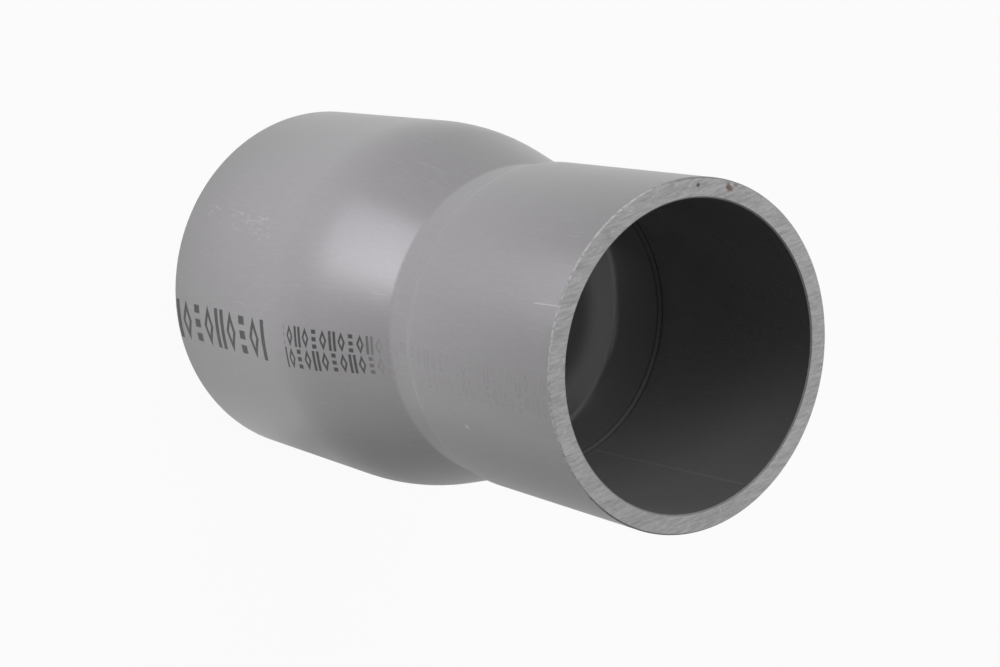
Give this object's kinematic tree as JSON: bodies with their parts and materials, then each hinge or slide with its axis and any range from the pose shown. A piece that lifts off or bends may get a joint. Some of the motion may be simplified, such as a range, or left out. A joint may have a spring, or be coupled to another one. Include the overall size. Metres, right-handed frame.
{
  "type": "pvc reducer coupling",
  "caption": "Grey rigid plastic conduit reducer coupling, formed from pipe: a large socket, a domed cone, a short neck with a pipe stop and a small socket.",
  "frame": {"origin": "centre of the large end's face, on the axis of both sockets; the part stands on this face", "axes": "+Z along the bore from the large socket to the small socket; X and Y are free, since the part is a body of revolution"},
  "size_m": [0.0987, 0.0986, 0.1652],
  "materials": {
    "grey_pvc": "satin, with light handling scuffs"
  },
  "bodies": {
    "root": {"reducer_body": "grey_pvc"}
  },
  "joints": []
}
